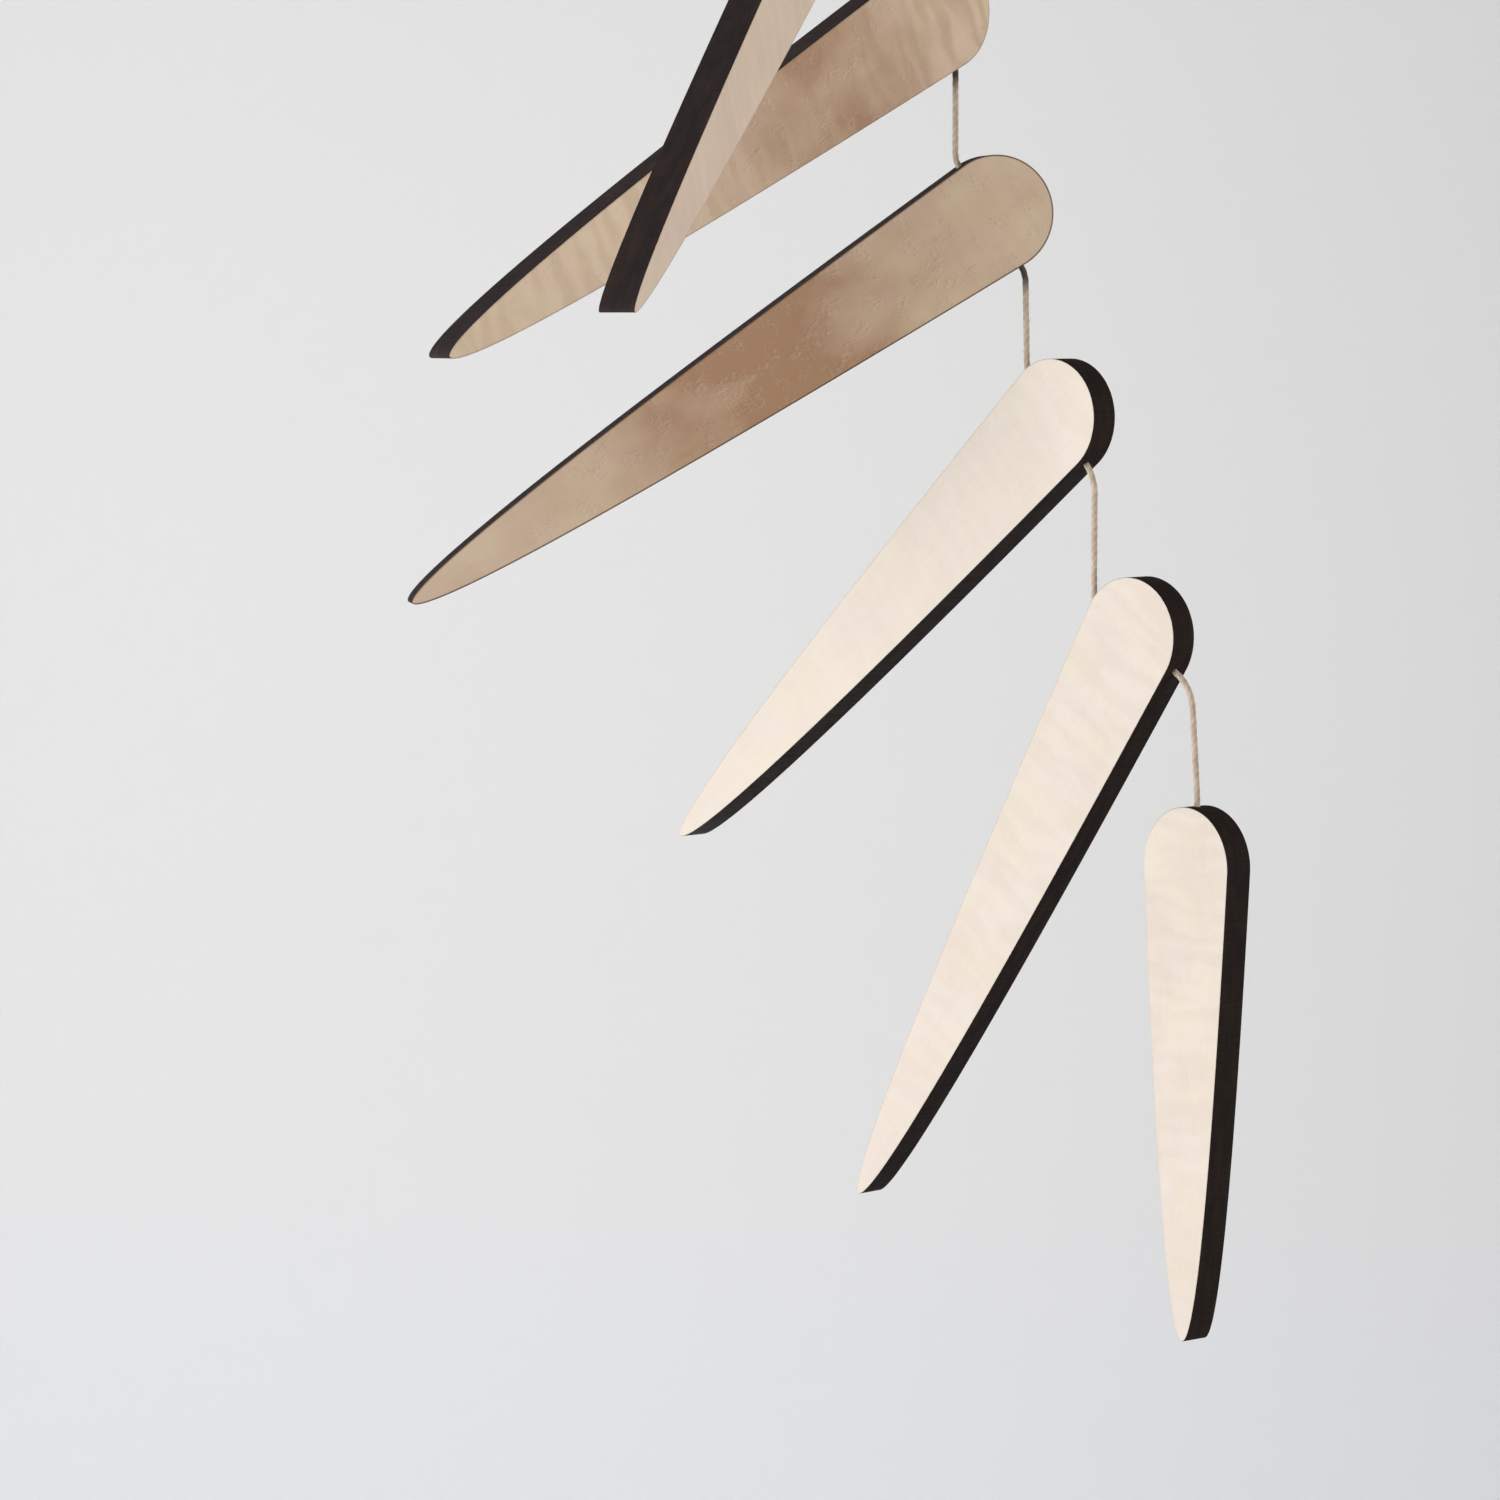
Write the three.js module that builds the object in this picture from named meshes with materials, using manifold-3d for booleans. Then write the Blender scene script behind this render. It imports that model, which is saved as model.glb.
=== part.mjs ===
// Hanging mobile: six flat, tapered wooden blades threaded one below the other on a single cord.
// Millimetres, +Z up. The origin is the top of the hanging loop, where a hook carries the mobile.
// The cord crosses the round end of each blade from its top edge to its bottom edge, so the tip
// droops, and droops more the less weight hangs below. Blade 6 hangs upright from a hole in its end.

import * as THREE from "three";
import { mergeVertices } from "three/addons/utils/BufferGeometryUtils.js";
import Module from "manifold-3d";

const wasm = await Module();
wasm.setup();

// Driving dimensions: the blades.
const bladeWidth = 24;
const bladeThickness = 6.5;
const longBlade = 218.5;
const middleBlade = 156.4;
const shortBlade = 109;
const taperPower = 0.51;

// Driving dimensions: the cord and its holes.
const cordDiameter = 1.3;
const holeClearance = 0.35;
const holeFromEnd = 12.8;
const endHoleDepth = 14;
const cordGapInEndHole = 1.5;

// Driving dimensions: the loop, its knot and the cord down to the first blade.
const loopHeight = 17;
const loopWidth = 9;
const knotDiameter = 4.2;
const knotHeight = 3.6;
const touchGap = 0.3;
const topDrop = 40;
const topBend = 1.6;

// Driving dimensions: the cord from each blade to the next. It leaves a blade the hole's way and
// turns down over a bend, hangs down by a drop, straying sideways away from the tips, and turns
// into the next blade's hole over the entry bend.
const entryBend = 1.5;
const firstBend = 1.6;
const secondBend = 1;
const thirdBend = 2;
const fourthBend = 3.4;
const fifthBend = 5;
const firstDrop = 29.9;
const secondDrop = 18.4;
const thirdDrop = 19.8;
const fourthDrop = 25.5;
const fifthDrop = 22.7;
const firstStray = 0.8;
const thirdStray = 0.4;
const fifthStray = 1.8;

// Fineness of the solids.
const sideSteps = 18;
const endSteps = 16;
const holeSides = 16;
const cordSides = 8;
const straightStep = 5;
const bendSteps = 3;
const loopSteps = 20;
const knotSides = 16;

// The blades from the top down. heading is the compass angle of the tip, anticlockwise from +X, and
// tilt is how far the tip droops, both in degrees. bend, drop and stray are the cord's below the blade.
const bladePlan = [
  { length: longBlade, heading: 252.2, tilt: 33.4, bend: firstBend, drop: firstDrop, stray: firstStray },
  { length: middleBlade, heading: 220.2, tilt: 28.7, bend: secondBend, drop: secondDrop, stray: 0 },
  { length: middleBlade, heading: 191.1, tilt: 33, bend: thirdBend, drop: thirdDrop, stray: thirdStray },
  { length: middleBlade, heading: 134.7, tilt: 40.7, bend: fourthBend, drop: fourthDrop, stray: 0 },
  { length: middleBlade, heading: 135.4, tilt: 58.7, bend: fifthBend, drop: fifthDrop, stray: fifthStray },
  { length: shortBlade, heading: 129.5, tilt: 90 },
];

const endRadius = bladeWidth / 2;
const cordRadius = cordDiameter / 2;
const holeRadius = cordRadius + holeClearance;

const veneer = new THREE.MeshStandardMaterial({ color: 0xe6d6c2, roughness: 0.6, metalness: 0 });
const twine = new THREE.MeshStandardMaterial({ color: 0xb9aa96, roughness: 0.9, metalness: 0 });

// Where a blade's tapering side runs into its round end: the distance from the tip, the half width
// there, and how far round the end has turned. The side is a power curve from a small round tip,
// and it meets the round end without a corner.
function taper(length) {
  const toCentre = length - endRadius;
  const spare = toCentre ** 2 - 4 * taperPower * (1 - taperPower) * endRadius ** 2;
  const back = (toCentre - Math.sqrt(spare)) / (2 * (1 - taperPower));
  const fromTip = toCentre - back;
  const halfWidth = Math.sqrt(endRadius ** 2 - back ** 2);
  return { toCentre, fromTip, halfWidth, turn: Math.atan2(back, halfWidth) };
}

// Half the blade's width at a distance from its round end.
function halfWidthAt(length, fromEnd) {
  const { toCentre, fromTip, halfWidth } = taper(length);
  const distance = length - fromEnd;
  if (distance < fromTip) return halfWidth * (distance / fromTip) ** taperPower;
  return Math.sqrt(endRadius ** 2 - (distance - toCentre) ** 2);
}

// A blade's outline, with its length along x from the round end, at 0, to the tip.
function bladeOutline(length) {
  const { fromTip, halfWidth, turn } = taper(length);
  const side = [];
  for (let i = 1; i <= sideSteps; i += 1) {
    const share = (i / sideSteps) ** 2;
    side.push(new THREE.Vector2(length - share * fromTip, halfWidth * share ** taperPower));
  }
  const halfSweep = Math.PI / 2 + turn;
  const roundEnd = [];
  for (let i = 1; i < 2 * endSteps; i += 1) {
    const angle = Math.PI - halfSweep + (i * halfSweep) / endSteps;
    roundEnd.push(new THREE.Vector2(
      endRadius + endRadius * Math.cos(angle),
      endRadius * Math.sin(angle),
    ));
  }
  const back = side.map((point) => new THREE.Vector2(point.x, -point.y)).reverse();
  return new THREE.Shape([new THREE.Vector2(length, 0), ...side, ...roundEnd, ...back]);
}

// A geometry as a solid that can be cut.
function toSolid(geometry) {
  const bare = geometry.clone();
  bare.deleteAttribute("normal");
  bare.deleteAttribute("uv");
  const merged = mergeVertices(bare, 1e-4);
  return new wasm.Manifold(new wasm.Mesh({
    numProp: 3,
    vertProperties: new Float32Array(merged.attributes.position.array),
    triVerts: new Uint32Array(merged.index.array),
  }));
}

function toGeometry(solid) {
  const mesh = solid.getMesh();
  const geometry = new THREE.BufferGeometry();
  geometry.setAttribute("position", new THREE.BufferAttribute(mesh.vertProperties, 3));
  geometry.setIndex(new THREE.BufferAttribute(mesh.triVerts, 1));
  geometry.computeVertexNormals();
  return geometry;
}

// A straight hole of the cord's size, from one point to another.
function hole(start, end) {
  const geometry = new THREE.CylinderGeometry(holeRadius, holeRadius, start.distanceTo(end), holeSides);
  const along = end.clone().sub(start).normalize();
  const turn = new THREE.Quaternion().setFromUnitVectors(new THREE.Vector3(0, 1, 0), along);
  const middle = start.clone().add(end).multiplyScalar(0.5);
  geometry.applyQuaternion(turn).translate(middle.x, middle.y, middle.z);
  return toSolid(geometry);
}

// A blade lying along x and standing on edge, with its top hole's mouth at the origin. The last
// blade has a blind hole in its end instead, and hangs tip down once it is tilted.
function bladeGeometry(length, last) {
  const body = new THREE.ExtrudeGeometry(bladeOutline(length), {
    depth: bladeThickness,
    bevelEnabled: false,
    steps: 1,
  });
  body.rotateX(Math.PI / 2).translate(0, bladeThickness / 2, 0);
  const halfWidth = halfWidthAt(length, holeFromEnd);
  const past = cordDiameter;
  let cut;
  if (last) {
    cut = hole(new THREE.Vector3(-past, 0, 0), new THREE.Vector3(endHoleDepth, 0, 0));
  } else {
    body.translate(-holeFromEnd, 0, -halfWidth);
    cut = hole(new THREE.Vector3(0, 0, past), new THREE.Vector3(0, 0, -2 * halfWidth - past));
  }
  return toGeometry(toSolid(body).subtract(cut));
}

// A hanging blade's turn and tilt, its level direction towards the tip, and the way out of its top
// mouth. The last blade's hole runs along it, so its mouth faces straight up.
function poseOf(plan, last) {
  const heading = THREE.MathUtils.degToRad(plan.heading);
  const tilt = THREE.MathUtils.degToRad(plan.tilt);
  const out = new THREE.Vector3(Math.cos(heading), Math.sin(heading), 0);
  const mouth = out.clone().multiplyScalar(last ? 0 : Math.sin(tilt));
  mouth.z = last ? 1 : Math.cos(tilt);
  return { heading, tilt, out, mouth };
}

// Works down the cord from the knot and gives each blade's pose and the mouths of its hole.
function hangBlades() {
  const poses = bladePlan.map((plan, i) => poseOf(plan, i === bladePlan.length - 1));
  const knotFoot = -loopHeight - knotHeight;
  const top = new THREE.Vector3(0, 0, knotFoot - topDrop).addScaledVector(poses[0].mouth, -topBend);
  return bladePlan.map((plan, i) => {
    const pose = poses[i];
    const last = i === bladePlan.length - 1;
    const start = top.clone();
    const depth = last ? endHoleDepth : 2 * halfWidthAt(plan.length, holeFromEnd);
    const bottom = start.clone().addScaledVector(pose.mouth, -depth);
    if (!last) {
      const below = poses[i + 1];
      const away = pose.out.clone().add(below.out).normalize();
      top.copy(bottom).addScaledVector(pose.mouth, -plan.bend).addScaledVector(away, -plan.stray);
      top.addScaledVector(below.mouth, -entryBend);
      top.z -= plan.drop;
    }
    return { ...plan, ...pose, last, top: start, bottom, entry: i === 0 ? topBend : entryBend };
  });
}

// A line through points, with a step of a tube at each of them.
class CordLine extends THREE.Curve {
  constructor(points) {
    super();
    this.points = points;
  }

  getPoint(t) {
    const place = t * (this.points.length - 1);
    const i = Math.min(Math.floor(place), this.points.length - 2);
    return this.points[i].clone().lerp(this.points[i + 1], place - i);
  }

  getTangent(t) {
    const i = Math.round(t * (this.points.length - 1));
    const tangent = new THREE.Vector3();
    [i - 1, i].filter((k) => k >= 0 && k < this.points.length - 1).forEach((k) => {
      tangent.add(this.points[k + 1].clone().sub(this.points[k]).normalize());
    });
    return tangent.normalize();
  }

  getPointAt(u) {
    return this.getPoint(u);
  }

  getTangentAt(u) {
    return this.getTangent(u);
  }
}

// Adds the points of a straight stretch, after its start.
function addStraight(points, end) {
  const start = points[points.length - 1];
  const steps = Math.max(1, Math.round(start.distanceTo(end) / straightStep));
  for (let i = 1; i <= steps; i += 1) points.push(start.clone().lerp(end, i / steps));
}

// Adds the points of a bend, after its start.
function addBend(points, corner, end) {
  const bend = new THREE.QuadraticBezierCurve3(points[points.length - 1], corner, end);
  points.push(...bend.getPoints(bendSteps).slice(1));
}

// The cord from under the knot to the blind hole in the last blade. It is straight in each hole,
// bends at both mouths and is straight again between two blades.
function cordRoute(hung) {
  const start = new THREE.Vector3(0, 0, -loopHeight - knotHeight - touchGap);
  const points = [start];
  let bend = 0;
  let turn = start;
  hung.forEach((blade) => {
    const corner = blade.top.clone().addScaledVector(blade.mouth, blade.entry);
    const down = corner.clone().sub(turn).normalize();
    if (turn !== start) addBend(points, turn, turn.clone().addScaledVector(down, bend));
    addStraight(points, corner.clone().addScaledVector(down, -blade.entry));
    addBend(points, corner, blade.top);
    if (blade.last) {
      addStraight(points, blade.bottom.clone().addScaledVector(blade.mouth, cordGapInEndHole));
      return;
    }
    addStraight(points, blade.bottom);
    bend = blade.bend;
    turn = blade.bottom.clone().addScaledVector(blade.mouth, -bend);
  });
  return new CordLine(points);
}

// The loop above the knot: a teardrop whose two ends go down into the knot side by side. widest is
// the most that the swelling of a teardrop reaches, a third of the way round.
function loopRoute() {
  const foot = -loopHeight + touchGap;
  const top = -cordRadius;
  const apart = cordRadius + touchGap / 2;
  const wide = loopWidth / 2 - cordRadius;
  const widest = 3 * Math.sqrt(3) / 8;
  const points = [];
  for (let i = 0; i <= loopSteps; i += 1) {
    const round = (2 * Math.PI * i) / loopSteps;
    const swell = (Math.sin(round) * (1 - Math.cos(round))) / 2 / widest;
    const x = wide * swell + apart * Math.cos(round / 2);
    points.push(new THREE.Vector3(x, 0, foot + ((top - foot) * (1 - Math.cos(round))) / 2));
  }
  return new CordLine(points);
}

function cordGeometry(route) {
  const section = new THREE.Shape();
  for (let i = 0; i < cordSides; i += 1) {
    const angle = (2 * Math.PI * i) / cordSides;
    const x = cordRadius * Math.cos(angle);
    const y = cordRadius * Math.sin(angle);
    if (i === 0) section.moveTo(x, y);
    else section.lineTo(x, y);
  }
  section.closePath();
  return new THREE.ExtrudeGeometry(section, {
    steps: route.points.length - 1,
    extrudePath: route,
    bevelEnabled: false,
  });
}

function knotGeometry() {
  const waist = knotDiameter * 0.34;
  const profile = [
    new THREE.Vector2(0, 0),
    new THREE.Vector2(waist, 0),
    new THREE.Vector2(knotDiameter / 2, knotHeight * 0.28),
    new THREE.Vector2(knotDiameter / 2, knotHeight * 0.72),
    new THREE.Vector2(waist, knotHeight),
    new THREE.Vector2(0, knotHeight),
  ];
  return new THREE.LatheGeometry(profile, knotSides).rotateX(Math.PI / 2);
}

function named(name, geometry, material) {
  const mesh = new THREE.Mesh(geometry, material);
  mesh.name = name;
  return mesh;
}

const mobile = new THREE.Group();
const hung = hangBlades();

hung.forEach((blade, i) => {
  const mesh = named(`blade_${i + 1}`, bladeGeometry(blade.length, blade.last), veneer);
  mesh.position.copy(blade.top);
  mesh.rotation.set(0, blade.tilt, blade.heading, "ZYX");
  mobile.add(mesh);
});

mobile.add(named("hanging_cord", cordGeometry(cordRoute(hung)), twine));
mobile.add(named("hanging_loop", cordGeometry(loopRoute()), twine));

const knot = named("loop_knot", knotGeometry(), twine);
knot.position.z = -loopHeight - knotHeight;
mobile.add(knot);

export default mobile;
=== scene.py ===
import math

import bpy
from mathutils import Matrix, Vector


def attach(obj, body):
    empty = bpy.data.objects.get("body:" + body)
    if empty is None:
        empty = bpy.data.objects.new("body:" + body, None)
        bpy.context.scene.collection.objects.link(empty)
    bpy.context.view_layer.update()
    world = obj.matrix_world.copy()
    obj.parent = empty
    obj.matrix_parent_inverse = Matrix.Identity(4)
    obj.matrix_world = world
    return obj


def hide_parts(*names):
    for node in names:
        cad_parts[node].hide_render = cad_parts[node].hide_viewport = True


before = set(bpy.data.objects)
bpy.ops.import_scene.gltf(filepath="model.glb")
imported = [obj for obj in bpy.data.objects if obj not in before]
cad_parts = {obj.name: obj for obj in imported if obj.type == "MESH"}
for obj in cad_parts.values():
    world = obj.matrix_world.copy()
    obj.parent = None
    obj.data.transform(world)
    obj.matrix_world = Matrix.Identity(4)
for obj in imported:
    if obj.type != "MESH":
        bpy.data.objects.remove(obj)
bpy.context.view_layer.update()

# Hanging mobile: six flat, tapered blades of curly maple plywood on one length of twine.
# Metres and radians, +Z up. The origin is the top of the loop, where a hook carries the mobile.

MM = 0.001

# The blades.
BLADE_WIDTH = 24 * MM
BLADE_THICKNESS = 6.5 * MM
LONG_BLADE = 218.5 * MM
MIDDLE_BLADE = 156.4 * MM
SHORT_BLADE = 109 * MM
TAPER_POWER = 0.51
END_RADIUS = BLADE_WIDTH / 2
RIM = 0.06 * MM

# The twine and its holes.
CORD_DIAMETER = 1.3 * MM
CORD_RADIUS = CORD_DIAMETER / 2
HOLE_RADIUS = CORD_RADIUS + 0.35 * MM
HOLE_FROM_END = 12.8 * MM
END_HOLE_DEPTH = 14 * MM
CORD_GAP_IN_END_HOLE = 1.5 * MM

# The loop, its knot and the cord down to the first blade.
LOOP_HEIGHT = 17 * MM
LOOP_WIDTH = 9 * MM
KNOT_HEIGHT = 3.6 * MM
TOUCH_GAP = 0.3 * MM
TOP_DROP = 40 * MM
TOP_BEND = 1.6 * MM
ENTRY_BEND = 1.5 * MM

# The blades from the top down. heading is the compass angle of the tip and tilt is how far it
# droops, in degrees. bend, drop and stray are the cord's below the blade, in millimetres: how far it
# runs on the hole's way, how far it hangs down and how far it strays away from the tips. soot is how
# far below the blade the twine is painted dark, in millimetres: painted shade under the blade and soot
# from its burnt hole.
BLADES = [
    dict(length=LONG_BLADE, heading=252.2, tilt=33.4, bend=1.6, drop=29.9, stray=0.8, soot=4),
    dict(length=MIDDLE_BLADE, heading=220.2, tilt=28.7, bend=1, drop=18.4, stray=0, soot=5),
    dict(length=MIDDLE_BLADE, heading=191.1, tilt=33, bend=2, drop=19.8, stray=0.4, soot=6.5),
    dict(length=MIDDLE_BLADE, heading=134.7, tilt=40.7, bend=3.4, drop=25.5, stray=0),
    dict(length=MIDDLE_BLADE, heading=135.4, tilt=58.7, bend=5, drop=22.7, stray=1.8),
    dict(length=SHORT_BLADE, heading=129.5, tilt=90),
]

# What the veneer is like where each blade was cut from its sheet. along and across are the place
# on the sheet in millimetres. The rest runs from 0 to 1: curl is how strongly the curly figure shows,
# gold how golden the wood is, brown how far the heartwood's brown has come in, heart how much more
# brown lies about one place, both heartwood and painted shade falling across the blade there,
# heart_and_shade_at where that is along the blade, heart_and_shade_spread how far it reaches, scorch how far
# the beam has singed the rim of the face, and ash how much painted light brightens the burnt edge.
VENEERS = [
    dict(along=40, across=10, curl=0.3, gold=0, brown=0.1, heart_and_shade=0, scorch=0.3, edge_light=0.9),
    dict(along=300, across=60, curl=0.9, gold=0.58, brown=0.12, heart_and_shade=0.7, heart_and_shade_at=0.31,
         heart_and_shade_spread=0.19, scorch=0.3, edge_light=1),
    dict(along=520, across=140, curl=0.15, gold=0.75, brown=0.31, heart_and_shade=0.76, heart_and_shade_at=0.45,
         heart_and_shade_spread=0.21, scorch=1, edge_light=0.6),
    dict(along=760, across=230, curl=0.12, gold=0, brown=0, heart_and_shade=0, scorch=0.1, edge_light=0),
    dict(along=980, across=310, curl=0.2, gold=0, brown=0.04, heart_and_shade=0, scorch=0.1, edge_light=0),
    dict(along=1240, across=420, curl=0.25, gold=0, brown=0.06, heart_and_shade=0, scorch=0.1, edge_light=0),
]


def taper(length):
    """Where a blade's tapering side meets its round end: the way back from the end's centre, the
    length of the taper, half its width there, and how far round the end has turned."""
    to_centre = length - END_RADIUS
    spare = to_centre ** 2 - 4 * TAPER_POWER * (1 - TAPER_POWER) * END_RADIUS ** 2
    back = (to_centre - math.sqrt(spare)) / (2 * (1 - TAPER_POWER))
    half_width = math.sqrt(END_RADIUS ** 2 - back ** 2)
    return to_centre - back, half_width, math.atan2(back, half_width)


def half_width_at(length, from_end):
    """Half the blade's width at a distance from its round end."""
    from_tip, half_width, _ = taper(length)
    if length - from_end < from_tip:
        return half_width * ((length - from_end) / from_tip) ** TAPER_POWER
    return math.sqrt(END_RADIUS ** 2 - (from_end - END_RADIUS) ** 2)


def hang_blades():
    """Works down the cord from the knot and gives each blade its pose and the mouths of its hole."""
    hung = []
    for i, plan in enumerate(BLADES):
        last = i == len(BLADES) - 1
        heading = math.radians(plan["heading"])
        tilt = math.radians(plan["tilt"])
        out = Vector((math.cos(heading), math.sin(heading), 0))
        mouth = Vector((0, 0, 1)) if last else out * math.sin(tilt) + Vector((0, 0, math.cos(tilt)))
        blade = dict(plan, name=f"blade_{i + 1}", last=last, heading=heading, tilt=tilt, out=out,
                     mouth=mouth, veneer=VENEERS[i])
        if not hung:
            blade["entry"] = TOP_BEND
            knot_foot = -LOOP_HEIGHT - KNOT_HEIGHT
            blade["top"] = Vector((0, 0, knot_foot - TOP_DROP)) - mouth * TOP_BEND
        else:
            above = hung[-1]
            away = (above["out"] + out).normalized()
            blade["entry"] = ENTRY_BEND
            turn = above["bottom"] - above["mouth"] * above["bend"] * MM
            blade["top"] = turn - away * above["stray"] * MM - mouth * ENTRY_BEND
            blade["top"].z -= above["drop"] * MM
        depth = END_HOLE_DEPTH if last else 2 * half_width_at(plan["length"], HOLE_FROM_END)
        blade["bottom"] = blade["top"] - mouth * depth
        hung.append(blade)
    return hung


HUNG = hang_blades()

# The camera, as in the photograph: a long lens about a metre away from the mobile, whose top is
# above the picture.
CAMERA_AT = (-27.4 * MM, -1039.8 * MM, -182.7 * MM)
CAMERA_PITCH = 5.03
CAMERA_LENS = 123.54


def make_camera():
    data = bpy.data.cameras.new("camera")
    data.lens = CAMERA_LENS
    data.sensor_width = 36
    data.sensor_fit = "HORIZONTAL"
    data.clip_start = 0.05
    data.clip_end = 60
    camera = bpy.data.objects.new("camera", data)
    camera.location = CAMERA_AT
    camera.rotation_euler = (math.radians(90 - CAMERA_PITCH), 0, 0)
    bpy.context.scene.collection.objects.link(camera)
    bpy.context.scene.camera = camera


# Node helpers.
def put(tree, socket, value):
    """Links a socket to another's output, or sets its plain value."""
    if isinstance(value, bpy.types.NodeSocket):
        tree.links.new(value, socket)
    elif value is not None:
        socket.default_value = value


def node(tree, kind, inputs=None, **settings):
    """A new node with its settings, and its inputs by name linked or set."""
    made = tree.nodes.new(kind)
    for name, value in settings.items():
        setattr(made, name, value)
    for name, value in (inputs or {}).items():
        put(tree, made.inputs[name], value)
    return made


def maths(tree, operation, *values):
    made = tree.nodes.new("ShaderNodeMath")
    made.operation = operation
    for socket, value in zip(made.inputs, values):
        put(tree, socket, value)
    return made.outputs[0]


def vectors(tree, operation, *values):
    made = tree.nodes.new("ShaderNodeVectorMath")
    made.operation = operation
    for socket, value in zip(made.inputs, values):
        put(tree, socket, value)
    return made.outputs[0]


def combined(tree, x=0.0, y=0.0, z=0.0):
    return node(tree, "ShaderNodeCombineXYZ", {"X": x, "Y": y, "Z": z}).outputs[0]


def stored(tree, geometry, name, kind, value):
    """Keeps a value on each point of a geometry."""
    made = node(tree, "GeometryNodeStoreNamedAttribute", {"Geometry": geometry, "Name": name},
                data_type=kind, domain="POINT")
    put(tree, made.inputs["Value"], value)
    return made.outputs[0]


def new_tree(name, kind, inputs, outputs):
    """A node group with named sockets, and its input and output nodes."""
    tree = bpy.data.node_groups.new(name, kind)
    for label, socket, value in inputs:
        made = tree.interface.new_socket(label, in_out="INPUT", socket_type=socket)
        if value is not None:
            made.default_value = value
    for label, socket in outputs:
        tree.interface.new_socket(label, in_out="OUTPUT", socket_type=socket)
    return tree, tree.nodes.new("NodeGroupInput").outputs, tree.nodes.new("NodeGroupOutput").inputs


# A blade as a geometry nodes tree: a block whose columns follow the outline from the round end to the
# tip, with a small chamfer round both faces and the hole for the twine. END_SHARE of the columns lie
# on the round end.
COLUMNS = 110
END_SHARE = 0.4
ROWS = 9
HOLE_SIDES = 28

# How steeply the outline counts as running at the very tip and the least distance from it, how close
# points are joined, how near a face a point has to be to count as on it, and how much of the curl is
# gone at the tip.
TIP_SLOPE = 1000
LEAST_FROM_TIP = 0.001 * MM
MERGE_WITHIN = 0.0005 * MM
FACE_WITHIN = 0.01 * MM
CURL_FADE = 0.65


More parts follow.
